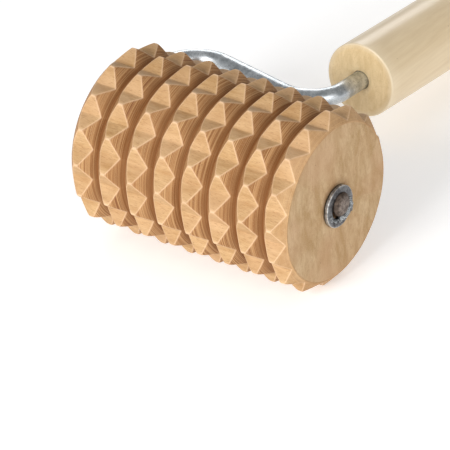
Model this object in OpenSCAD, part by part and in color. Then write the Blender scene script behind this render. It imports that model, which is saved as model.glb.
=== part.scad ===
// Wooden massage roller: a toothed wooden roller turning on a bent steel rod,
// with a plain round wooden handle.
//
// The tool is laid out flat first: the roller's axis is the X axis, the handle
// points along +Y, and the rod, the handle and the roller's axis share the
// plane z = 0. rest() then lays it on the ground, handle end down, with the
// origin at the centre of its footprint.

/* [Roller] */
// distance from one turned ring to the next
ring_pitch = 10.5; // [8:0.1:10.7]
// number of turned rings
rings = 8; // [3:1:8]
// number of teeth round each ring
teeth = 16; // [8:4:24]
// radius over the tips of the teeth
tip_r = 30; // [28:0.5:36]
// radius at the bottom of the cross cuts between teeth
valley_r = 26.4; // [22:0.1:29]
// radius at the bottom of the turned grooves
groove_r = 24.8; // [15:0.1:28]
// half width of the narrow flat along the top of each ring
crest_half = 1.25; // [0.5:0.05:2.5]
// distance from the last ring's middle to the roller's end face
end_trim = 4.4; // [2.8:0.1:5]
// narrow land left on each tooth, measured as height the cross cuts miss
land_rise = 0.16; // [0.05:0.01:0.6]
// how far the roller's middle sits to the outer side of the handle's axis
roller_x = 1.2; // [-1:0.1:3]

/* [Rod] */
// rod diameter
rod_d = 6.2; // [4:0.1:7]
// bend radius at the rod's middle line
bend_r = 12; // [8:0.5:13]
// distance from the handle's axis to the side arm
arm_x = 57; // [56:0.1:75]
// height of the cross run above the roller's axis, at the handle's axis
cross_y = 49.4; // [44:0.1:58]
// angle by which the cross run leans away from the roller towards the side arm
cross_lean = 12; // [0:0.5:20]
// radius of the flattened head at the rod's end
head_r = 3.9; // [3.6:0.1:6]
// thickness of that head
head_t = 1.9; // [1.8:0.1:4]

/* [Washers] */
// washer outside diameter
washer_d = 13.8; // [10:0.1:24]
// washer thickness
washer_t = 1.2; // [0.6:0.1:1.6]
// hole in the outer washer, which hangs low on the rod
outer_hole_d = 8.2; // [6.6:0.1:10]
// end play between the roller and each washer
end_play = 0.35; // [0.3:0.05:0.6]

/* [Handle] */
// handle diameter
handle_d = 25.4; // [20:0.1:40]
// handle length
handle_l = 122; // [80:1:200]
// distance from the roller's axis to the handle's front face
handle_y = 74.5; // [66:0.5:120]
// rounding of the handle's front edge
front_round = 0.6; // [0.2:0.1:4]
// rounding of the handle's far edge
butt_round = 2; // [0.5:0.1:8]
// depth of the rod in the handle
socket_depth = 58; // [20:1:70]

/* [Fits] */
// radial clearance of the roller and the inner washer on the rod
running_gap = 0.08; // [0.02:0.01:0.1]
// radial squeeze of the rod in the handle
press_squeeze = 0.02; // [0:0.01:0.05]

/* [Hidden] */
$fn = 96;

rod_r = rod_d / 2;
// how much thicker a bend is than the bars, and how far a bar runs into it
bend_swell = 0.01;
bar_bite = 0.2;
bore_r = rod_r + running_gap;
handle_r = handle_d / 2;
half_l = (rings - 1) * ring_pitch / 2 + end_trim;
tooth_step = 360 / teeth;
flank_slope = (tip_r - groove_r) / (ring_pitch / 2 - crest_half);

// where the cross cut's side, from its valley to the tooth, meets the turned tip
star_r = tip_r + land_rise;
side_x = star_r * cos(tooth_step / 2) - valley_r;
side_y = star_r * sin(tooth_step / 2);
side_a = side_x * side_x + side_y * side_y;
side_b = valley_r * side_x;
side_c = valley_r * valley_r - tip_r * tip_r;
side_t = (sqrt(side_b * side_b - side_a * side_c) - side_b) / side_a;

// the roller rests on two rows of tips, either side of straight down
tip_down = valley_r + side_t * side_x;

// tilt that brings the handle's rounded far edge to the same ground
butt_y = handle_y + handle_l - butt_round;
butt_z = handle_r - butt_round;
tilt = asin((tip_down - butt_round) / sqrt(butt_y * butt_y + butt_z * butt_z)) - atan(butt_z / butt_y);

outer_x = roller_x + half_l + end_play;
inner_x = roller_x - half_l - end_play;
head_x = outer_x + washer_t;
washer_drop = outer_hole_d / 2 - rod_r - 0.05;
low_x = -arm_x - rod_r - bend_swell;
high_x = head_x + head_t;
low_y = -tip_down;
high_y = butt_y * cos(tilt) + butt_z * sin(tilt) + butt_round;
mid_x = (low_x + high_x) / 2;
mid_y = (low_y + high_y) / 2;

wood_tan = [0.72, 0.56, 0.38];
wood_cream = [0.86, 0.78, 0.60];
zinc = [0.72, 0.74, 0.76];
dark_steel = [0.40, 0.40, 0.42];

// ---------- placing ----------

// the roller's axis in the finished part
module at_axle() {
    translate([-mid_x, -mid_y, tip_down]) children();
}

// the tool laid on the ground
module rest() {
    at_axle() rotate([-tilt, 0, 0]) children();
}

// turns a shape drawn round Z so that it lies round X
module along_x() {
    rotate([0, 90, 0]) children();
}

// ---------- roller ----------

// upper outline of one ring from its left groove to its right one
function ring_points(i) =
    let (x = (i - (rings - 1) / 2) * ring_pitch)
    concat(
        i == 0 ? [] : [[groove_r, x - ring_pitch / 2]],
        [[tip_r, x - crest_half], [tip_r, x + crest_half]]
    );

// radius of the flank where the end face cuts it
end_r = tip_r - (end_trim - crest_half) * flank_slope;

module turned_rings() {
    outline = concat(
        [[bore_r, -half_l], [end_r, -half_l]],
        [for (i = [0 : rings - 1]) each ring_points(i)],
        [[end_r, half_l], [bore_r, half_l]]
    );
    rotate_extrude() polygon(outline);
}

// star-shaped bar left by the straight cross cuts, with a valley straight down
module cross_cut_bar() {
    linear_extrude(2 * half_l + 2, center = true)
        polygon([for (k = [0 : 2 * teeth - 1])
            let (a = k * tooth_step / 2, r = k % 2 == 0 ? valley_r : star_r)
            [r * cos(a), r * sin(a)]]);
}

module roller() {
    color(wood_tan) at_axle() translate([roller_x, 0, 0]) along_x() intersection() {
        turned_rings();
        cross_cut_bar();
    }
}

// ---------- rod ----------

// The rod is drawn as a chain: each bar or bend starts where the last one
// ended, heading along its own -Y. A bend is a hair thicker than the bars, as
// bending leaves it, and each bar runs a little way into its neighbours.
bend_angle = 90 + cross_lean;
bend_cut = bend_r * tan(bend_angle / 2);
cross_len = arm_x / cos(cross_lean) - 2 * bend_cut;
arm_len = cross_y + arm_x * tan(cross_lean) - bend_cut - bend_r;
axle_len = head_x + arm_x - bend_r;
stub_y = cross_y + bend_cut;

module bar(length) {
    translate([0, bar_bite, 0]) rotate([90, 0, 0])
        cylinder(r = rod_r, h = length + 2 * bar_bite);
}

module bend_right(angle) {
    translate([-bend_r, 0, 0]) rotate_extrude(angle = -angle)
        translate([bend_r, 0]) circle(r = rod_r + bend_swell);
}

module bend_left(angle) {
    translate([bend_r, 0, 0]) rotate([0, 0, 180]) rotate_extrude(angle = angle)
        translate([bend_r, 0]) rotate(180) circle(r = rod_r + bend_swell);
}

module after_bar(length) {
    translate([0, -length, 0]) children();
}

module after_right(angle) {
    translate([-bend_r, 0, 0]) rotate([0, 0, -angle]) translate([bend_r, 0, 0]) children();
}

module after_left(angle) {
    translate([bend_r, 0, 0]) rotate([0, 0, angle]) translate([-bend_r, 0, 0]) children();
}

// flattened end that keeps the outer washer on, drawn on past the axle's end
module peened_head() {
    rotate([90, 0, 0]) rotate_extrude()
        polygon([[0, 0], [head_r - 0.15, 0], [head_r, 0.2], [head_r - 0.1, 0.75],
                 [head_r - 0.55, 1.3], [head_r - 1.25, 1.7], [head_r - 1.8, head_t], [0, head_t]]);
}

module frame_rod() {
    color(zinc) rest() translate([0, stub_y, 0]) {
        // stub that runs up into the handle
        stub_len = handle_y + socket_depth - stub_y;
        translate([0, stub_len, 0]) rotate([90, 0, 0]) cylinder(r = rod_r, h = stub_len + bar_bite);
        bend_right(bend_angle);
        after_right(bend_angle) {
            // cross run behind the roller
            bar(cross_len);
            after_bar(cross_len) {
                bend_left(bend_angle);
                after_left(bend_angle) {
                    // side arm
                    bar(arm_len);
                    after_bar(arm_len) {
                        bend_left(90);
                        after_left(90) {
                            // axle through the roller
                            bar(axle_len);
                            after_bar(axle_len) peened_head();
                        }
                    }
                }
            }
        }
    }
}

// ---------- washers ----------

module washer(hole_r) {
    along_x() rotate_extrude()
        polygon([[hole_r, 0], [washer_d / 2 - 0.2, 0], [washer_d / 2, 0.2],
                 [washer_d / 2, washer_t - 0.25], [washer_d / 2 - 0.25, washer_t], [hole_r, washer_t]]);
}

// loose washer between the roller and the bend
module inner_washer() {
    color(dark_steel) rest() translate([inner_x - washer_t, 0, 0]) washer(bore_r);
}

// fixed washer under the rod's head; its hole is large, so it hangs low
module outer_washer() {
    color(dark_steel) rest() translate([outer_x, 0, -washer_drop]) washer(outer_hole_d / 2);
}

// bead of weld that ties the head to the outer washer
module end_weld() {
    module blob(y, z, r) {
        translate([head_x + 0.5, y, z]) rotate([0, 90, 0]) sphere(r = r, $fn = 20);
    }
    color(dark_steel) rest() union() {
        hull() {
            blob(3.3, -0.6, 1.3);
            blob(2.7, -2.6, 1.6);
        }
        hull() {
            blob(2.7, -2.6, 1.6);
            blob(0.8, -4.2, 1.2);
        }
    }
}

// ---------- handle ----------

module handle() {
    steps = 8;
    outline = concat(
        [[0, 0], [handle_r - front_round, 0]],
        [for (k = [1 : steps]) let (a = 90 * k / steps)
            [handle_r - front_round + front_round * sin(a), front_round - front_round * cos(a)]],
        [for (k = [0 : steps]) let (a = 90 * k / steps)
            [handle_r - butt_round + butt_round * cos(a), handle_l - butt_round + butt_round * sin(a)]],
        [[0, handle_l]]
    );
    color(wood_cream) rest() translate([0, handle_y, 0]) rotate([-90, 0, 0]) difference() {
        rotate_extrude() polygon(outline);
        translate([0, 0, -1]) cylinder(r = rod_r - press_squeeze, h = socket_depth + 3);
    }
}

handle();
frame_rod();
roller();
inner_washer();
outer_washer();
end_weld();
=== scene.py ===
import math

import bmesh
import bpy
from mathutils import Matrix, Vector, noise


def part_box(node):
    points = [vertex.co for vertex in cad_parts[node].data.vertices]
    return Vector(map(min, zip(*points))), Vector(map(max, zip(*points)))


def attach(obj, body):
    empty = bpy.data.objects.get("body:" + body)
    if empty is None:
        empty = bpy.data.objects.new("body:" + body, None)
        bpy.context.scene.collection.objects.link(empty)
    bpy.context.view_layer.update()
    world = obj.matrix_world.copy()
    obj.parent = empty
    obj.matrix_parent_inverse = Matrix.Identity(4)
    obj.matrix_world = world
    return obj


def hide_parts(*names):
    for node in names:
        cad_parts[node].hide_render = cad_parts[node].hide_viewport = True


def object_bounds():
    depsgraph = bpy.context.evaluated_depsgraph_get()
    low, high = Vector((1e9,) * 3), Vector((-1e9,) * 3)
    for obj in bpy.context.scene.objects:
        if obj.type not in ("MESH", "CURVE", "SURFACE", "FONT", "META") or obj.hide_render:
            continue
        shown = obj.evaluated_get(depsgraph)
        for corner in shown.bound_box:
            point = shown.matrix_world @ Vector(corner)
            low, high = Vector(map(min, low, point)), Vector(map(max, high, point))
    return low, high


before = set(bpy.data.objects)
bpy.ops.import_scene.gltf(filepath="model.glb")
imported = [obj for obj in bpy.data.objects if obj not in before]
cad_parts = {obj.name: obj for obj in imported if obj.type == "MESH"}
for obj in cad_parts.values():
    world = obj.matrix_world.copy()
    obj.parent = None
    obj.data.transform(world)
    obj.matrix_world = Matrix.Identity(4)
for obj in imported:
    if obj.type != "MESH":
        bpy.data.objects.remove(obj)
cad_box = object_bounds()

# A wooden massage roller lying on a pale floor: a toothed beech roller turns on
# a bent zinc-plated rod, held by two washers, and the rod ends in a plain
# lacquered handle. Lengths are in metres.
MM = 0.001

# ---------- sizes ----------

RINGS, TEETH = 8, 16
RING_PITCH = 10.5 * MM
TIP_R, VALLEY_R, GROOVE_R = 30 * MM, 26.4 * MM, 24.8 * MM
CREST_HALF = 0.75 * MM
END_TRIM = 4.4 * MM
LAND_RISE = 0.16 * MM
# how far the roller has rolled on from a valley facing straight down
ROLLER_TURN = math.radians(4.115)
HALF_LENGTH = (RINGS - 1) * RING_PITCH / 2 + END_TRIM

ROD_R = 3.1 * MM
BORE_R = 3.18 * MM
BEND_R = 12 * MM
ARM_X = 57 * MM
CROSS_Y = 49.4 * MM
CROSS_LEAN = math.radians(12)
HEAD_R, HEAD_T = 3.9 * MM, 1.9 * MM

WASHER_R, WASHER_T = 6.9 * MM, 1.2 * MM
OUTER_HOLE_R = 4.1 * MM
END_PLAY = 0.35 * MM
WASHER_DROP = OUTER_HOLE_R - ROD_R - 0.05 * MM

HANDLE_R, HANDLE_L, HANDLE_Y = 12.7 * MM, 122 * MM, 74.5 * MM
FRONT_ROUND, BUTT_ROUND = 0.6 * MM, 2 * MM
SOCKET_DEPTH = 58 * MM

# ---------- where the tool lies ----------

roller_low, roller_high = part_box("roller")
handle_low, handle_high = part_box("handle")

# the axle's middle under the handle's axis, and the tilt that rests the far
# end of the handle on the floor
axle = Vector(((handle_low.x + handle_high.x) / 2,
               (roller_low.y + roller_high.y) / 2,
               (roller_low.z + roller_high.z) / 2))
roller_x = (roller_low.x + roller_high.x) / 2 - axle.x
floor_z = min(cad_box[0].z, 0.0)
butt_y, butt_z = HANDLE_Y + HANDLE_L - BUTT_ROUND, HANDLE_R - BUTT_ROUND
tilt = (math.asin((axle.z - floor_z - BUTT_ROUND) / math.hypot(butt_y, butt_z))
        - math.atan(butt_z / butt_y))
to_floor = Matrix.Translation(axle) @ Matrix.Rotation(-tilt, 4, "X")

outer_x = roller_x + HALF_LENGTH + END_PLAY
inner_x = roller_x - HALF_LENGTH - END_PLAY - WASHER_T
head_x = outer_x + WASHER_T

# ---------- node trees ----------


class Wire:
    """A number in a node tree, so that a rule reads as arithmetic."""

    def __init__(self, tree, socket):
        self.tree, self.socket = tree, socket

    def op(self, operation, *others, clamp=False):
        node = self.tree.nodes.new("ShaderNodeMath")
        node.operation = operation
        node.use_clamp = clamp
        for slot, value in zip(node.inputs, (self, *others)):
            connect(self.tree, value, slot)
        return Wire(self.tree, node.outputs[0])

    def __add__(self, other):
        return self.op("ADD", other)

    def __sub__(self, other):
        return self.op("SUBTRACT", other)

    def __mul__(self, other):
        return self.op("MULTIPLY", other)

    def __truediv__(self, other):
        return self.op("DIVIDE", other)

    def __pow__(self, other):
        return self.op("POWER", other)

    __radd__, __rmul__ = __add__, __mul__

    def __rsub__(self, other):
        return self.op("MULTIPLY_ADD", -1.0, other)

    def clamped(self):
        return self.op("ADD", 0.0, clamp=True)

    def eased(self):
        """From 0 to 1 with a gentle start and stop."""
        return self * self * (3.0 - self * 2.0)

    def between(self, low, high):
        """0 below low, 1 above high."""
        return ((self - low) / (high - low)).clamped()


def connect(tree, value, slot):
    if isinstance(value, Wire):
        value = value.socket
    if isinstance(value, bpy.types.NodeSocket):
        tree.links.new(value, slot)
    else:
        slot.default_value = value


def node(tree, kind, inputs=None, **settings):
    made = tree.nodes.new(kind)
    for name, value in settings.items():
        setattr(made, name, value)
    for name, value in (inputs or {}).items():
        connect(tree, value, made.inputs[name])
    return made


def grown(name, start, tree, values):
    """Runs a geometry node tree on an object and returns the plain mesh object it makes."""
    scene = bpy.context.scene
    scene.collection.objects.link(start)
    modifier = start.modifiers.new("shape", "NODES")
    modifier.node_group = tree
    for item in tree.interface.items_tree:
        if item.in_out == "INPUT" and item.name in values:
            modifier[item.identifier] = values[item.name]
    evaluated = start.evaluated_get(bpy.context.evaluated_depsgraph_get())
    mesh = bpy.data.meshes.new_from_object(evaluated)
    mesh.name = name
    bpy.data.objects.remove(start)
    return linked(name, mesh)


def linked(name, mesh):
    piece = bpy.data.objects.new(name, mesh)
    bpy.context.scene.collection.objects.link(piece)
    return piece


def geometry_tree(name, inputs):
    """An empty geometry tree with one named input for each size, and its Group Input node."""
    tree = bpy.data.node_groups.new(name, "GeometryNodeTree")
    tree.interface.new_socket("Geometry", in_out="INPUT", socket_type="NodeSocketGeometry")
    for label, kind in inputs.items():
        tree.interface.new_socket(label, in_out="INPUT", socket_type=kind)
    tree.interface.new_socket("Geometry", in_out="OUTPUT", socket_type="NodeSocketGeometry")
    return tree, tree.nodes.new("NodeGroupInput")


def end_tree(tree, geometry, material):
    realized = node(tree, "GeometryNodeRealizeInstances", {"Geometry": geometry})
    painted = node(tree, "GeometryNodeSetMaterial",
                   {"Geometry": realized.outputs[0], "Material": material})
    output = tree.nodes.new("NodeGroupOutput")
    tree.links.new(painted.outputs[0], output.inputs[0])


# ---------- finishes ----------


class Finish:
    """A procedural material: holds its node tree and the shader at its end."""

    def __init__(self, name, **sockets):
        self.material = bpy.data.materials.new(name)
        self.material.use_nodes = True
        self.tree = self.material.node_tree
        self.shader = self.tree.nodes["Principled BSDF"]
        for label, value in sockets.items():
            self.shader.inputs[label.replace("_", " ")].default_value = value
        self.place = self.tree.nodes.new("ShaderNodeTexCoord").outputs["Object"]

    def along(self, stretch):
        """Object coordinates, in metres, multiplied along each axis."""
        return node(self.tree, "ShaderNodeVectorMath", {0: self.place, 1: stretch},
                    operation="MULTIPLY").outputs[0]

    def cloud(self, stretch, detail=2.0, rough=0.5, twist=0.0):
        """Soft noise from 0 to 1, with so many spots to the metre along each axis."""
        made = node(self.tree, "ShaderNodeTexNoise",
                    {"Vector": self.along(stretch), "Scale": 1.0, "Detail": detail,
                     "Roughness": rough, "Distortion": twist})
        return Wire(self.tree, made.outputs[0])

    def cells(self, scale):
        """Distance from the nearest of many scattered spots, so many to the metre."""
        made = node(self.tree, "ShaderNodeTexVoronoi",
                    {"Vector": self.place, "Scale": scale}, feature="F1")
        return Wire(self.tree, made.outputs["Distance"])

    def attribute(self, name):
        made = node(self.tree, "ShaderNodeAttribute", attribute_name=name)
        return Wire(self.tree, made.outputs["Fac"])

    def axis(self, index):
        made = node(self.tree, "ShaderNodeSeparateXYZ", {0: self.place})
        return Wire(self.tree, made.outputs[index])

    def mix(self, factor, first, second):
        made = self.tree.nodes.new("ShaderNodeMix")
        made.data_type, made.blend_type = "RGBA", "MIX"
        for slot, value in ((0, factor), (6, first), (7, second)):
            if isinstance(value, tuple):
                value = (*value, 1.0)
            connect(self.tree, value, made.inputs[slot])
        return made.outputs[2]

    def finish(self, colour, roughness, height, depth):
        """Wires colour, roughness and a bump that is depth metres deep."""
        connect(self.tree, colour, self.shader.inputs["Base Color"])
        connect(self.tree, roughness, self.shader.inputs["Roughness"])
        bump = node(self.tree, "ShaderNodeBump",
                    {"Height": height, "Distance": depth, "Strength": 1.0})
        connect(self.tree, bump.outputs[0], self.shader.inputs["Normal"])
        return self.material


# where a ring of grain is torn, and how far from its middle the tear fades out
TORN_X, TORN_HALF = axle.x + roller_x - 2.5 * RING_PITCH + 2.7 * MM, 0.22 * MM
# radii between which the painted shade round the bore, in the gap behind the washer, and the darker ring
# just past the washer fade out
BORE_SHADE_FADE = (4.6 * MM, 5.6 * MM)
RING_PAST_WASHER_FADE = (6.5 * MM, 8.6 * MM)


def roller_finish():
    """Oiled beech: plain grain on the cuts, turning lines and painted shade in the grooves."""
    f = Finish("oiled_beech", Specular_IOR_Level=0.15)
    depth, turned = f.attribute("depth"), f.attribute("turned")
    edge, cap, tone = f.attribute("edge"), f.attribute("cap"), f.attribute("tone")
    grain = f.cloud((110, 520, 520), 4.0, 0.6, 0.3)
    fibre = f.cloud((420, 3800, 3800), 3.0, 0.6)
    blotch = f.cloud((70, 70, 70), 2.0)
    rings = f.cloud((7600, 24, 24), 2.0, 0.6)
    wide_rings = f.cloud((1500, 12, 12), 2.0, 0.6)

    cut = f.mix(grain.between(0.34, 0.66), (0.44, 0.255, 0.108), (0.59, 0.385, 0.195))
    cut = f.mix(fibre.between(0.48, 0.68) * 0.50, cut, (0.36, 0.195, 0.08))
    cut = f.mix(blotch.between(0.42, 0.66) * 0.45, cut, (0.63, 0.41, 0.235))
    dash = f.cloud((650, 5200, 5200), 2.0, 0.6)
    cut = f.mix(dash.between(0.58, 0.68) * 0.65, cut, (0.27, 0.13, 0.05))

    flank = f.mix(rings.between(0.43, 0.57), (0.235, 0.100, 0.032), (0.55, 0.325, 0.150))
    flank = f.mix(wide_rings.between(0.46, 0.58) * 0.50, flank, (0.34, 0.160, 0.058))
    flank = f.mix(dash.between(0.56, 0.66) * 0.35, flank, (0.60, 0.40, 0.24))
    flank = f.mix(f.attribute("outer") * 0.75, flank, cut)
    colour = f.mix(turned, cut, flank)
    # painted shade: the turned flanks darken towards the bottoms of the grooves
    groove = (depth.between(0.46, 1.0) ** 1.3) * turned * (1.0 - cap) * (1.0 - f.attribute("outer"))
    colour = f.mix(groove * 0.88, colour, (0.19, 0.062, 0.012))

    # a torn ring of darker grain near one end
    off_tear = (f.axis(0) - TORN_X).op("ABSOLUTE") / TORN_HALF
    tear = (1.0 - off_tear).clamped() * f.cloud((70, 70, 70), 1.0).between(0.46, 0.56)
    colour = f.mix(tear * turned * (1.0 - cap) * 0.8, colour, (0.16, 0.045, 0.018))

    ray = f.cloud((500, 230, 90), 4.0, 0.65, 0.6)
    pore = f.cloud((900, 1400, 620), 3.0, 0.7)
    face = f.mix(ray.between(0.38, 0.62), (0.40, 0.255, 0.118), (0.545, 0.385, 0.222))
    face = f.mix(pore.between(0.48, 0.70) * 0.50, face, (0.325, 0.190, 0.082))
    face = f.mix(blotch.between(0.46, 0.66) * 0.45, face, (0.54, 0.345, 0.205))
    flour = f.cloud((3600, 3600, 3600), 2.0, 0.6)
    face = f.mix(flour.between(0.56, 0.70) * 0.45, face, (0.63, 0.47, 0.31))
    off_axle = ((f.axis(1) - axle.y) ** 2.0 + (f.axis(2) - axle.z) ** 2.0).op("SQRT")
    # painted shade: the end face goes nearly black round the bore, where the gap behind the washer lies in
    # shade
    bore_shade = 1.0 - off_axle.between(*BORE_SHADE_FADE)
    # a darker brown ring on the end face just past the washer's rim
    ring_past_washer = (1.0 - off_axle.between(*RING_PAST_WASHER_FADE)) * grain.between(0.3, 0.6)
    face = f.mix(ring_past_washer * 0.55, face, (0.27, 0.135, 0.055))
    face = f.mix(bore_shade * 0.92, face, (0.030, 0.018, 0.012))
    colour = f.mix(cap, colour, face)

    speck = 1.0 - f.cells(420.0).between(0.05, 0.10)
    rare = f.cloud((260, 260, 260), 1.0).between(0.60, 0.66)
    colour = f.mix(speck * rare * 0.7, colour, (0.13, 0.06, 0.025))
    colour = f.mix((tone - 0.5) * 0.25 + 0.12, colour, (0.40, 0.21, 0.09))
    # pale ridges and tips: partly worn wood, partly painted highlight
    colour = f.mix(edge * (0.35 + 0.45 * grain), colour, (0.80, 0.56, 0.36))

    roughness = 0.50 + 0.12 * grain + 0.10 * turned * rings
    height = (fibre * 0.35 * (1.0 - turned) + rings * turned * (1.0 - cap) * 0.8
              + wide_rings * turned * (1.0 - cap) * 0.6 + pore * cap * 0.4)
    return f.finish(colour, roughness, height, 0.10 * MM)


def handle_finish():
    """Pale birch under a satin lacquer; the grain runs along the handle."""
    f = Finish("lacquered_birch", Specular_IOR_Level=0.5, Coat_Weight=0.35, Coat_Roughness=0.22)
    face = f.attribute("cap")
    grain = f.cloud((520, 26, 520), 4.0, 0.6, 0.25)
    fibre = f.cloud((2600, 120, 2600), 3.0, 0.6)
    blotch = f.cloud((60, 34, 60), 2.0)
    side = f.mix(grain.between(0.24, 0.76), (0.69, 0.525, 0.315), (0.80, 0.645, 0.42))
    side = f.mix(fibre.between(0.52, 0.74) * 0.14, side, (0.50, 0.355, 0.18))
    side = f.mix(blotch.between(0.45, 0.70) * 0.30, side, (0.67, 0.52, 0.33))
    pore = f.cloud((1500, 900, 1500), 3.0, 0.7)
    ring = f.cloud((420, 100, 150), 3.0, 0.6, 0.6)
    end = f.mix(ring.between(0.35, 0.66), (0.72, 0.53, 0.27), (0.84, 0.65, 0.37))
    end = f.mix(pore.between(0.50, 0.72) * 0.35, end, (0.54, 0.38, 0.18))
    colour = f.mix(face, side, end)
    speck = 1.0 - f.cells(300.0).between(0.05, 0.09)
    rare = f.cloud((230, 230, 230), 1.0).between(0.60, 0.66)
    colour = f.mix(speck * rare * 0.6, colour, (0.26, 0.16, 0.08))
    # painted highlight: the front rim is mixed towards pale birch
    colour = f.mix(f.attribute("edge") * 0.55, colour, (0.88, 0.76, 0.56))
    roughness = 0.34 + 0.10 * grain + 0.15 * face
    return f.finish(colour, roughness, fibre * 0.5 + pore * face * 0.5, 0.015 * MM)


def zinc_finish():
    """Bright zinc plate with faint grey spangle and handling marks."""
    f = Finish("bright_zinc", Metallic=1.0)
    spangle = f.cells(420.0)
    cloud = f.cloud((300, 300, 300), 4.0, 0.6)
    fine = f.cloud((2200, 2200, 2200), 3.0, 0.6)
    colour = f.mix(cloud.between(0.38, 0.62), (0.36, 0.39, 0.41), (0.72, 0.75, 0.77))
    colour = f.mix(spangle.between(0.10, 0.55) * 0.30, colour, (0.56, 0.60, 0.63))
    colour = f.mix(fine.between(0.54, 0.68) * 0.55, colour, (0.16, 0.17, 0.18))
    roughness = 0.20 + 0.22 * cloud + 0.12 * fine
    return f.finish(colour, roughness, fine * 0.5 + cloud * 0.8, 0.05 * MM)


def washer_finish():
    """Dull grey steel, pale along its rim: partly worn bright, partly a painted highlight."""
    f = Finish("worn_steel", Metallic=0.75)
    edge = f.attribute("edge")
    cloud = f.cloud((520, 520, 520), 4.0, 0.65)
    fine = f.cloud((3200, 3200, 3200), 3.0, 0.65)
    colour = f.mix(cloud.between(0.38, 0.62), (0.075, 0.070, 0.072), (0.205, 0.205, 0.21))
    colour = f.mix(fine.between(0.54, 0.68) * 0.6, colour, (0.045, 0.038, 0.034))
    colour = f.mix(fine.between(0.30, 0.44), f.mix(0.35, colour, (0.34, 0.35, 0.35)), colour)
    # the rim mixed towards pale grey: partly wear, partly painted highlight
    colour = f.mix(edge * (0.30 + 0.70 * cloud.between(0.40, 0.60)), colour, (0.74, 0.74, 0.72))
    roughness = 0.50 + 0.16 * fine - 0.22 * edge
    return f.finish(colour, roughness, fine * 0.6 + cloud * 0.8, 0.09 * MM)


def weld_finish():
    """Rough cooled weld: grey and brown scale with bright spots."""
    f = Finish("weld_scale", Metallic=0.85)
    cloud = f.cloud((900, 900, 900), 4.0, 0.7)
    fine = f.cloud((3600, 3600, 3600), 3.0, 0.7)
    colour = f.mix(cloud.between(0.38, 0.62), (0.07, 0.068, 0.066), (0.36, 0.38, 0.39))
    colour = f.mix(fine.between(0.56, 0.68), colour, (0.82, 0.85, 0.86))
    roughness = 0.36 + 0.28 * cloud
    return f.finish(colour, roughness, fine * 0.8 + cloud, 0.14 * MM)


def head_finish():
    """Hammered rod end: brown heat scale round its side, grey on its face."""
    f = Finish("hammered_steel", Metallic=0.75)
    face = f.attribute("cap")
    cloud = f.cloud((800, 800, 800), 4.0, 0.7)
    fine = f.cloud((3400, 3400, 3400), 3.0, 0.65)
    side = f.mix(cloud.between(0.35, 0.65), (0.045, 0.032, 0.025), (0.15, 0.11, 0.085))
    top = f.mix(cloud.between(0.40, 0.60), (0.11, 0.083, 0.068), (0.29, 0.235, 0.20))
    top = f.mix(fine.between(0.56, 0.68) * 0.6, top, (0.46, 0.40, 0.36))
    colour = f.mix(face, side, top)
    roughness = 0.44 + 0.22 * cloud
    return f.finish(colour, roughness, fine * 0.7 + cloud, 0.12 * MM)


def floor_finish():
    """Matt pale floor, lifted a little so that it reads as a white sweep."""
    f = Finish("pale_floor", Specular_IOR_Level=0.1, Emission_Strength=0.36,
               Emission_Color=(1.0, 1.0, 1.0, 1.0))
    cloud = f.cloud((9, 9, 9), 3.0)
    colour = f.mix(cloud, (0.84, 0.84, 0.84), (0.87, 0.87, 0.87))
    return f.finish(colour, 0.75 + 0.1 * cloud, cloud, 0.02 * MM)


# ---------- the toothed roller ----------

TOOTH_STEPS = 20   # spans across one tooth
FLANK_STEPS = 10   # spans from a groove to the tooth's ridge
CUT_STEPS = 6      # spans from the ridge to the ring's middle
CAP_STEPS = 8      # spans down each end face
BORE_STEPS = 4     # spans back along the bore

VALLEY_EASE = 0.006         # rounding at the bottom of the cross cuts, in radians
GROOVE_EASE = 0.12 * MM     # rounding at the bottom of the grooves
CORNER_IN = 0.10 * MM       # how far the end faces' corners are eased, towards the axis
CORNER_BACK = 0.12 * MM     # and along it
TURNED_FADE = 0.30 * MM     # over which the cut surface gives way to the turned one
RIDGE_GLINT = 0.42 * MM     # reach of the pale line along the ridges, partly worn wood and partly painted highlight
TIP_GLINT = 0.40 * MM       # reach of the pale spot on the tips, partly worn wood and partly painted highlight
TIP_GLINT_SIDE = 0.6 * MM   # and how far it runs down the flanks


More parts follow.
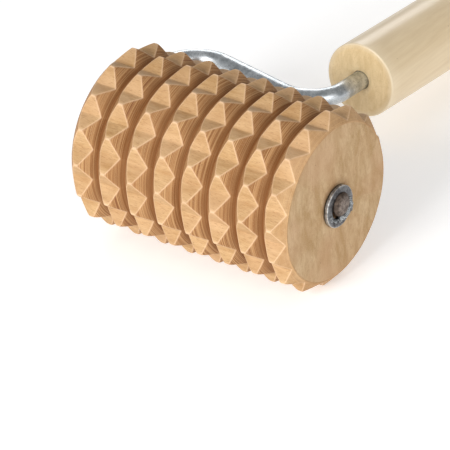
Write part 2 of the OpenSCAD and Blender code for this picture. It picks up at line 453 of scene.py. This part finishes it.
def roller_tree(material):
    """One outline, run along the rings and back through the bore, carried round the axis."""
    sizes = ("Ring Pitch", "Tip Radius", "Valley Radius", "Groove Radius", "Crest Half Width",
             "End Trim", "Land Rise", "Bore Radius", "Edge Softness", "Tip Softness",
             "Hand Wobble", "Turned", "Middle X", "Middle Y", "Middle Z")
    tree, group = geometry_tree("toothed_roller", {
        "Rings": "NodeSocketInt", "Teeth": "NodeSocketInt", "Seed": "NodeSocketInt",
        **{label: "NodeSocketFloat" for label in sizes}})
    size = {out.name: Wire(tree, out) for out in group.outputs if out.name}
    rings, teeth, pitch = size["Rings"], size["Teeth"], size["Ring Pitch"]
    ring_steps = 2 * (FLANK_STEPS + CUT_STEPS)
    around = teeth * float(TOOTH_STEPS)
    outline = rings * float(ring_steps) + float(2 * CAP_STEPS + BORE_STEPS)

    grid = node(tree, "GeometryNodeMeshGrid", {
        "Size X": 1.0, "Size Y": 1.0,
        "Vertices X": (around + 1.0).socket, "Vertices Y": (outline + 1.0).socket})
    spot = node(tree, "ShaderNodeSeparateXYZ", {0: tree.nodes.new("GeometryNodeInputPosition").outputs[0]})
    u = ((Wire(tree, spot.outputs[0]) + 0.5) * around).op("ROUND")
    v = ((Wire(tree, spot.outputs[1]) + 0.5) * outline).op("ROUND")

    # round the axis: 0 in the valley between two teeth, 1 on the tooth's tip
    tooth = (u / float(TOOTH_STEPS) + 0.001).op("FLOOR")
    part = u / float(TOOTH_STEPS) - tooth
    rise = (1.0 - (part * 2.0 - 1.0).op("ABSOLUTE")).clamped().eased()
    half_step = (teeth / math.pi) ** -1.0
    from_valley = rise * half_step
    past_tip = part.op("GREATER_THAN", 0.5)
    angle = ((tooth + past_tip) * half_step * 2.0 + from_valley * (1.0 - past_tip * 2.0)
             + size["Turned"])

    # straight cross cut between two teeth
    valley, star = size["Valley Radius"], size["Tip Radius"] + size["Land Rise"]
    side_angle = (star * half_step.op("SINE")).op("ARCTAN2", star * half_step.op("COSINE") - valley)
    soft_valley = (from_valley * from_valley + VALLEY_EASE ** 2).op("SQRT")
    cross_cut = valley * side_angle.op("SINE") / (side_angle - soft_valley).op("SINE")

    # along the axis: 0 in the groove, 1 in the ring's middle
    along = (v - float(CAP_STEPS)).op("MAXIMUM", 0.0).op("MINIMUM", rings * float(ring_steps))
    ring = (along / float(ring_steps) + 0.001).op("FLOOR").op("MINIMUM", rings - 1.0)
    local = along / float(ring_steps) - ring
    towards = (1.0 - (local * 2.0 - 1.0).op("ABSOLUTE")) * float(FLANK_STEPS + CUT_STEPS)
    right = local.op("GREATER_THAN", 0.5)
    facing = right * 2.0 - 1.0
    outermost = (ring.op("LESS_THAN", 0.5) * (1.0 - right)
                 + ring.op("GREATER_THAN", rings - 1.5) * right)
    slope = (size["Tip Radius"] - size["Groove Radius"]) / (pitch * 0.5 - size["Crest Half Width"])
    far = pitch * 0.5 + (size["End Trim"] - pitch * 0.5) * outermost
    ridge = pitch * 0.5 - (cross_cut.op("MINIMUM", size["Tip Radius"]) - size["Groove Radius"]) / slope
    flank_part = (towards / float(FLANK_STEPS)).clamped().eased()
    cut_part = ((towards - float(FLANK_STEPS)) / float(CUT_STEPS)).clamped() ** 1.6
    from_middle = far + (ridge - far) * flank_part - ridge * cut_part

    # the turned outline, then the lower of that and the cross cut
    from_groove = pitch * 0.5 - from_middle
    soft_groove = (from_groove * from_groove + GROOVE_EASE ** 2).op("SQRT")
    turned = size["Groove Radius"] + slope * soft_groove
    blunt = cross_cut.op("SMOOTH_MIN", size["Tip Radius"], size["Tip Softness"])
    rule = turned.op("SMOOTH_MIN", blunt, size["Edge Softness"])

    # end faces and bore
    left_cap = 1.0 - (v / float(CAP_STEPS)).clamped()
    after = v - float(CAP_STEPS) - rings * float(ring_steps)
    right_cap = (after / float(CAP_STEPS)).clamped()
    back = ((after - float(CAP_STEPS)) / float(BORE_STEPS)).clamped()
    cap = left_cap + right_cap
    corner = (1.0 - (v - float(CAP_STEPS)).op("ABSOLUTE")).clamped() + (1.0 - after.op("ABSOLUTE")).clamped()
    inward = cap ** 1.9
    radius = rule * (1.0 - inward) + size["Bore Radius"] * inward - corner * CORNER_IN
    half_length = (rings - 1.0) * pitch * 0.5 + size["End Trim"]
    x = ((ring - (rings - 1.0) * 0.5) * pitch + facing * (from_middle - corner * CORNER_BACK)
         - half_length * 2.0 * back)

    # each tooth is cut a little differently by hand
    number = tooth * 31.0 + ring * 7.0
    chance = node(tree, "FunctionNodeRandomValue",
                  {"ID": number.socket, "Seed": size["Seed"].socket}, data_type="FLOAT")
    tone = Wire(tree, next(o for o in chance.outputs if o.enabled))
    round_vector = node(tree, "ShaderNodeCombineXYZ", {
        "X": x.socket, "Y": (radius * angle.op("COSINE")).socket, "Z": (radius * angle.op("SINE")).socket})
    waver = Wire(tree, node(tree, "ShaderNodeTexNoise", {
        "Vector": round_vector.outputs[0], "Scale": 130.0, "Detail": 2.0}).outputs[0])
    worn = waver.between(0.2, 0.8) * size["Hand Wobble"] * (1.0 - cap.op("MINIMUM", 1.0))
    radius = radius - worn

    # at no turn a valley faces straight down; the roller's axis is the world's X axis
    place = node(tree, "ShaderNodeCombineXYZ", {
        "X": (x + size["Middle X"]).socket,
        "Y": (size["Middle Y"] + radius * angle.op("SINE")).socket,
        "Z": (size["Middle Z"] - radius * angle.op("COSINE")).socket})
    geometry = grid.outputs["Mesh"]
    on_side = 1.0 - cap.op("GREATER_THAN", 0.001)
    marks = {
        "depth": ((size["Tip Radius"] - rule) / (size["Tip Radius"] - size["Groove Radius"])).clamped(),
        "turned": ((cross_cut - turned) / TURNED_FADE + 0.5).clamped(),
        # edge: closeness to the ridges and tips, for their pale line of wear and painted highlight
        "edge": ((1.0 - ((cross_cut - turned).op("ABSOLUTE") / RIDGE_GLINT)).clamped() ** 1.5).op(
            "MAXIMUM", (1.0 - (size["Tip Radius"] - cross_cut) / TIP_GLINT).clamped()
            * (1.0 - ((cross_cut - turned) / TIP_GLINT_SIDE)).clamped()) * on_side,
        "cap": cap.op("GREATER_THAN", 0.001),
        "outer": outermost * right,
        "tone": tone,
    }
    for label, value in marks.items():
        geometry = node(tree, "GeometryNodeStoreNamedAttribute",
                        {"Geometry": geometry, "Name": label, "Value": value.socket},
                        data_type="FLOAT", domain="POINT").outputs[0]
    geometry = node(tree, "GeometryNodeSetPosition",
                    {"Geometry": geometry, "Position": place.outputs[0]}).outputs[0]
    geometry = node(tree, "GeometryNodeMergeByDistance",
                    {"Geometry": geometry, "Distance": 0.001 * MM}).outputs[0]
    geometry = node(tree, "GeometryNodeSetShadeSmooth", {"Geometry": geometry}).outputs[0]
    end_tree(tree, geometry, material)
    return tree


def make_roller(material):
    start = bpy.data.objects.new("roller_start", bpy.data.meshes.new("roller_start"))
    piece = grown("toothed_roller", start, roller_tree(material), {
        "Rings": RINGS, "Teeth": TEETH, "Seed": 5, "Ring Pitch": RING_PITCH,
        "Tip Radius": TIP_R, "Valley Radius": VALLEY_R, "Groove Radius": GROOVE_R,
        "Crest Half Width": CREST_HALF, "End Trim": END_TRIM, "Land Rise": LAND_RISE,
        "Bore Radius": BORE_R, "Edge Softness": 0.9 * MM, "Tip Softness": 2.4 * MM,
        "Hand Wobble": 0.12 * MM, "Turned": ROLLER_TURN,
        "Middle X": axle.x + roller_x, "Middle Y": axle.y, "Middle Z": axle.z})
    face_outwards(piece.data)
    return piece


# ---------- turned and swept pieces ----------


def face_outwards(mesh):
    work = bmesh.new()
    work.from_mesh(mesh)
    bmesh.ops.recalc_face_normals(work, faces=work.faces)
    if work.calc_volume(signed=True) < 0:
        bmesh.ops.reverse_faces(work, faces=work.faces)
    work.to_mesh(mesh)
    work.free()
    for face in mesh.polygons:
        face.use_smooth = True


def lathe(name, outline, where, steps=96, closed=False, wear=0.0, marks=None):
    """Turns (radius, height) points round local Z. closed joins the last point to the first."""
    work = bmesh.new()
    layers = {m: work.verts.layers.float.new(m) for m in ("edge", "cap")}
    rows = []
    for index, (radius, height) in enumerate(outline):
        if radius < 1e-7:
            row = [work.verts.new((0, 0, height))]
        else:
            row = [work.verts.new((radius * math.cos(a), radius * math.sin(a), height))
                   for a in (2 * math.pi * k / steps for k in range(steps))]
        for vert in row:
            for mark, value in (marks or {}).get(index, {}).items():
                vert[layers[mark]] = value
        rows.append(row)
    pairs = list(zip(rows, rows[1:] + ([rows[0]] if closed else [])))
    for low, high in pairs:
        for k in range(steps):
            after = (k + 1) % steps
            corners = [low[k % len(low)], low[after % len(low)],
                       high[after % len(high)], high[k % len(high)]]
            unique = list(dict.fromkeys(corners))
            if len(unique) > 2:
                work.faces.new(unique)
    if wear:
        work.normal_update()
        for vert in work.verts:
            dent = noise.noise(vert.co * 900) + 0.6 * noise.noise(vert.co * 2600 + Vector((7, 3, 1)))
            vert.co -= vert.normal * wear * max(0.0, dent + 0.35)
    work.transform(where)
    mesh = bpy.data.meshes.new(name)
    work.to_mesh(mesh)
    work.free()
    face_outwards(mesh)
    return linked(name, mesh)


def arc(middle, radius, start, stop, steps):
    """Points (radius, height) round a middle, with angles in degrees from the radius direction."""
    return [(middle[0] + radius * math.cos(math.radians(start + (stop - start) * k / steps)),
             middle[1] + radius * math.sin(math.radians(start + (stop - start) * k / steps)))
            for k in range(steps + 1)]


def make_handle(material):
    mouth = ROD_R + 0.05 * MM
    depth = SOCKET_DEPTH + 1 * MM
    front = arc((HANDLE_R - FRONT_ROUND, FRONT_ROUND), FRONT_ROUND, -90, 0, 5)
    butt = arc((HANDLE_R - BUTT_ROUND, HANDLE_L - BUTT_ROUND), BUTT_ROUND, 0, 90, 8)
    side = [(HANDLE_R, FRONT_ROUND + (HANDLE_L - FRONT_ROUND - BUTT_ROUND) * k / 24) for k in range(1, 24)]
    face = [(mouth + 0.25 * MM + (HANDLE_R - FRONT_ROUND - mouth - 0.25 * MM) * k / 6, 0) for k in range(6)]
    back = [((HANDLE_R - BUTT_ROUND) * (1 - k / 6), HANDLE_L) for k in range(1, 7)]
    bottom = [(0, depth), (mouth, depth), (mouth, 0.3 * MM)]
    outline = bottom + face + front + side + butt + back
    marks = {}
    first_front = len(bottom) + len(face)
    for k in range(len(bottom), first_front):
        marks[k] = {"cap": 1.0}
    for k, value in enumerate((0.75, 0.5, 0.25, 0.1)):
        marks[first_front + k] = {"cap": value}
    # edge: the front rim, for its painted highlight
    for k, value in enumerate((0.5, 1.0, 1.0, 1.0, 1.0, 0.5)):
        marks.setdefault(first_front + k, {})["edge"] = value
    last = len(outline)
    for k in range(last - len(back) - 1, last):
        marks[k] = {"cap": 1.0}
    where = to_floor @ Matrix.Translation((0, HANDLE_Y, 0)) @ Matrix.Rotation(math.radians(-90), 4, "X")
    piece = lathe("turned_handle", outline, where, 112, marks=marks)
    piece.data.materials.append(material)
    return piece


def rod_path():
    """The rod's middle line in the flat tool, from inside the handle to the end of the axle."""
    turn = math.pi / 2 + CROSS_LEAN
    cut = BEND_R * math.tan(turn / 2)
    spot, heading = Vector((0, HANDLE_Y + SOCKET_DEPTH, 0)), -math.pi / 2
    points = [spot.copy()]

    def straight(length, spans):
        for _ in range(spans):
            spot.x += math.cos(heading) * length / spans
            spot.y += math.sin(heading) * length / spans
            points.append(spot.copy())

    def bend(angle, spans):
        nonlocal heading
        for _ in range(spans):
            heading += angle / spans / 2
            chord = 2 * BEND_R * math.sin(abs(angle) / spans / 2)
            spot.x += math.cos(heading) * chord
            spot.y += math.sin(heading) * chord
            heading += angle / spans / 2
            points.append(spot.copy())

    straight(HANDLE_Y + SOCKET_DEPTH - CROSS_Y - cut, 24)
    bend(-turn, 26)
    straight(ARM_X / math.cos(CROSS_LEAN) - 2 * cut, 12)
    bend(turn, 26)
    straight(CROSS_Y + ARM_X * math.tan(CROSS_LEAN) - cut - BEND_R, 14)
    bend(math.pi / 2, 24)
    straight(ARM_X - BEND_R + head_x + 0.2 * MM, 40)
    return points


def make_rod(material):
    tree, group = geometry_tree("swept_rod", {
        "Rod Radius": "NodeSocketFloat", "Plating Waver": "NodeSocketFloat"})
    circle = node(tree, "GeometryNodeCurvePrimitiveCircle",
                  {"Resolution": 40, "Radius": group.outputs["Rod Radius"]})
    swept = node(tree, "GeometryNodeCurveToMesh",
                 {"Curve": group.outputs["Geometry"], "Profile Curve": circle.outputs[0],
                  "Fill Caps": True})
    waver = Wire(tree, node(tree, "ShaderNodeTexNoise", {"Scale": 160.0, "Detail": 2.0}).outputs[0])
    depth = waver.between(0.3, 0.8) * -1.0 * Wire(tree, group.outputs["Plating Waver"])
    outwards = node(tree, "ShaderNodeVectorMath",
                    {0: tree.nodes.new("GeometryNodeInputNormal").outputs[0], "Scale": depth.socket},
                    operation="SCALE")
    worn = node(tree, "GeometryNodeSetPosition",
                {"Geometry": swept.outputs[0], "Offset": outwards.outputs[0]})
    end_tree(tree, worn.outputs[0], material)

    curve = bpy.data.curves.new("rod_line", "CURVE")
    curve.dimensions = "3D"
    spline = curve.splines.new("POLY")
    points = rod_path()
    spline.points.add(len(points) - 1)
    for point, spot in zip(spline.points, points):
        point.co = (*(to_floor @ spot), 1.0)
    piece = grown("bent_rod", bpy.data.objects.new("rod_line", curve), tree,
                  {"Rod Radius": ROD_R, "Plating Waver": 0.05 * MM})
    merge = bmesh.new()
    merge.from_mesh(piece.data)
    bmesh.ops.remove_doubles(merge, verts=merge.verts, dist=0.002 * MM)
    merge.to_mesh(piece.data)
    merge.free()
    face_outwards(piece.data)
    return piece


def along_axle(x, drop=0.0):
    """Stands a turned piece on the axle, growing towards +X from x."""
    return to_floor @ Matrix.Translation((x, 0, -drop)) @ Matrix.Rotation(math.radians(90), 4, "Y")


def make_head(material):
    outline = [(0, -0.2 * MM), (HEAD_R * 0.75, -0.2 * MM), (HEAD_R - 0.15 * MM, 0.0), (HEAD_R, 0.2 * MM),
               (HEAD_R - 0.03 * MM, 0.5 * MM), (HEAD_R - 0.1 * MM, 0.75 * MM),
               (HEAD_R - 0.3 * MM, 1.05 * MM), (HEAD_R - 0.55 * MM, 1.3 * MM),
               (HEAD_R - 0.9 * MM, 1.52 * MM), (HEAD_R - 1.25 * MM, 1.7 * MM),
               (HEAD_R - 1.8 * MM, HEAD_T - 0.04 * MM), (HEAD_R - 2.5 * MM, HEAD_T),
               (HEAD_R - 3.2 * MM, HEAD_T), (0, HEAD_T)]
    marks = {k: {"cap": min(1.0, (k - 7) / 3)} for k in range(8, len(outline))}
    piece = lathe("hammered_head", outline, along_axle(head_x), 72, wear=0.16 * MM, marks=marks)
    piece.data.materials.append(material)
    return piece


def make_washer(name, x, hole_r, drop, material):
    edge = 0.22 * MM
    outline = (arc((WASHER_R - edge, edge), edge, -90, 0, 3)
               + arc((WASHER_R - edge, WASHER_T - edge), edge, 0, 90, 4)
               + [(hole_r + (WASHER_R - edge - hole_r) * f, WASHER_T) for f in (0.75, 0.5, 0.25)]
               + [(hole_r + 0.1 * MM, WASHER_T), (hole_r, WASHER_T - 0.1 * MM),
                  (hole_r, 0.1 * MM), (hole_r + 0.1 * MM, 0)]
               + [(hole_r + (WASHER_R - edge - hole_r) * f, 0) for f in (0.35, 0.7)])
    # pale from the side wall round to the front face: partly worn bright, partly a painted highlight
    worn = {3: 0.35, 4: 0.75, 5: 1.0, 6: 1.0, 7: 0.7, 8: 0.15}
    marks = {k: {"edge": value} for k, value in worn.items()}
    piece = lathe(name, outline, along_axle(x, drop), 120, closed=True, wear=0.07 * MM, marks=marks)
    piece.data.materials.append(material)
    return piece


def make_weld(material):
    """Lumps of weld from the head's side down to the washer, melted into one skin."""
    # across the axle, up, out of the washer's face, and size of each lump
    lumps = ((3.3, 0.7, 0.9, 0.8), (3.5, -0.4, 0.9, 1.1), (3.9, -1.5, 0.8, 1.15),
             (3.1, -2.4, 0.8, 1.4), (2.3, -3.3, 0.7, 1.4), (1.3, -4.1, 0.5, 1.25),
             (3.6, -3.2, 0.2, 0.9), (2.6, -4.4, 0.2, 0.9), (0.2, -4.9, 0.3, 1.0),
             (-0.9, -5.3, 0.15, 0.75), (1.2, -5.4, 0.1, 0.8), (-2.2, -5.3, 0.0, 0.6),
             (-3.3, -4.5, 0.0, 0.55), (-4.2, -4.1, 0.0, 0.5), (-4.7, -3.1, 0.0, 0.5))
    work = bmesh.new()
    for across, up, out, size in lumps:
        spot = Matrix.Translation((head_x + out * MM, across * MM, up * MM))
        bmesh.ops.create_icosphere(work, subdivisions=3, radius=size * MM, matrix=spot)
    mesh = bpy.data.meshes.new("weld_start")
    work.to_mesh(mesh)
    work.free()
    start = linked("weld_start", mesh)
    remesh = start.modifiers.new("melt", "REMESH")
    remesh.mode, remesh.voxel_size = "VOXEL", 0.14 * MM
    smooth = start.modifiers.new("flow", "SMOOTH")
    smooth.factor, smooth.iterations = 0.5, 3
    melted = bpy.data.meshes.new_from_object(start.evaluated_get(bpy.context.evaluated_depsgraph_get()))
    bpy.data.objects.remove(start)
    work = bmesh.new()
    work.from_mesh(melted)
    work.normal_update()
    back = outer_x + WASHER_T - 0.15 * MM
    for vert in work.verts:
        lump = noise.noise(vert.co * 900) + 0.6 * noise.noise(vert.co * 2300)
        vert.co += vert.normal * lump * 0.30 * MM
        vert.co.x = max(back, min(vert.co.x, head_x + HEAD_T - 0.02 * MM))
    work.transform(to_floor)
    work.to_mesh(melted)
    work.free()
    face_outwards(melted)
    melted.name = "weld_bead"
    piece = linked("weld_bead", melted)
    piece.data.materials.clear()
    piece.data.materials.append(material)
    return piece


# ---------- floor, lights, camera ----------


def make_floor(material):
    work = bmesh.new()
    bmesh.ops.create_grid(work, x_segments=40, y_segments=40, size=3.0)
    bmesh.ops.translate(work, verts=work.verts, vec=(0, 0, floor_z - 0.02 * MM))
    mesh = bpy.data.meshes.new("floor")
    work.to_mesh(mesh)
    work.free()
    floor = linked("floor", mesh)
    floor.data.materials.append(material)


def make_light(name, where, aim, size, power):
    data = bpy.data.lights.new(name, "AREA")
    data.shape, data.size = "DISK", size
    data.energy = power
    light = bpy.data.objects.new(name, data)
    light.location = where
    light.rotation_euler = (Vector(aim) - Vector(where)).to_track_quat("-Z", "Y").to_euler()
    bpy.context.scene.collection.objects.link(light)


def make_world(strength):
    world = bpy.data.worlds.new("studio")
    world.use_nodes = True
    sky = world.node_tree.nodes["Background"]
    sky.inputs["Color"].default_value = (1.0, 1.0, 1.0, 1.0)
    sky.inputs["Strength"].default_value = strength
    bpy.context.scene.world = world


def make_camera():
    azimuth, elevation, roll = (math.radians(a) for a in (37.674, 31.888, 3.166))
    back = Vector((math.sin(azimuth) * math.cos(elevation),
                   -math.cos(azimuth) * math.cos(elevation), math.sin(elevation)))
    level = Vector((0, 0, 1)).cross(back).normalized()
    upright = back.cross(level)
    up = upright * math.cos(roll) + level * math.sin(roll)
    right = level * math.cos(roll) - upright * math.sin(roll)
    data = bpy.data.cameras.new("camera")
    data.lens, data.sensor_width = 348.7, 36.0
    data.clip_start, data.clip_end = 0.05, 20.0
    camera = bpy.data.objects.new("camera", data)
    aim, distance = Vector((12.58, -91.89, 13.60)) * MM, 1.35398
    camera.matrix_world = (Matrix.Translation(aim + back * distance)
                           @ Matrix((right, up, back)).transposed().to_4x4())
    bpy.context.scene.collection.objects.link(camera)
    bpy.context.scene.camera = camera


# ---------- the whole tool ----------

make_camera()
make_world(0.40)
make_light("key", (-0.05, -1.35, 0.60), (0, -0.08, 0.02), 0.7, 17)
make_light("fill", (1.15, -0.45, 0.40), (0, -0.08, 0.02), 0.8, 5.5)
make_light("back", (-0.75, 1.00, 0.62), (0, -0.05, 0.02), 0.6, 3.2)
make_floor(floor_finish())
bpy.context.scene.view_settings.view_transform = "Standard"

steel = washer_finish()
built = (
    (make_roller(roller_finish()), "roller", "roller_wood", ("roller",)),
    (make_handle(handle_finish()), "frame", "handle_wood", ("handle",)),
    (make_rod(zinc_finish()), "frame", "zinc_rod", ("frame_rod",)),
    (make_head(head_finish()), "frame", "zinc_rod", ("frame_rod",)),
    (make_washer("outer_washer_ring", outer_x, OUTER_HOLE_R, WASHER_DROP, steel),
     "frame", "washer_steel", ("outer_washer",)),
    (make_washer("inner_washer_ring", inner_x, BORE_R, 0.0, steel),
     "washer", "washer_steel", ("inner_washer",)),
    (make_weld(weld_finish()), "frame", "weld_steel", ("end_weld",)),
)
for piece, body, slot, stands_for in built:
    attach(piece, body)
    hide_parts(*stands_for)
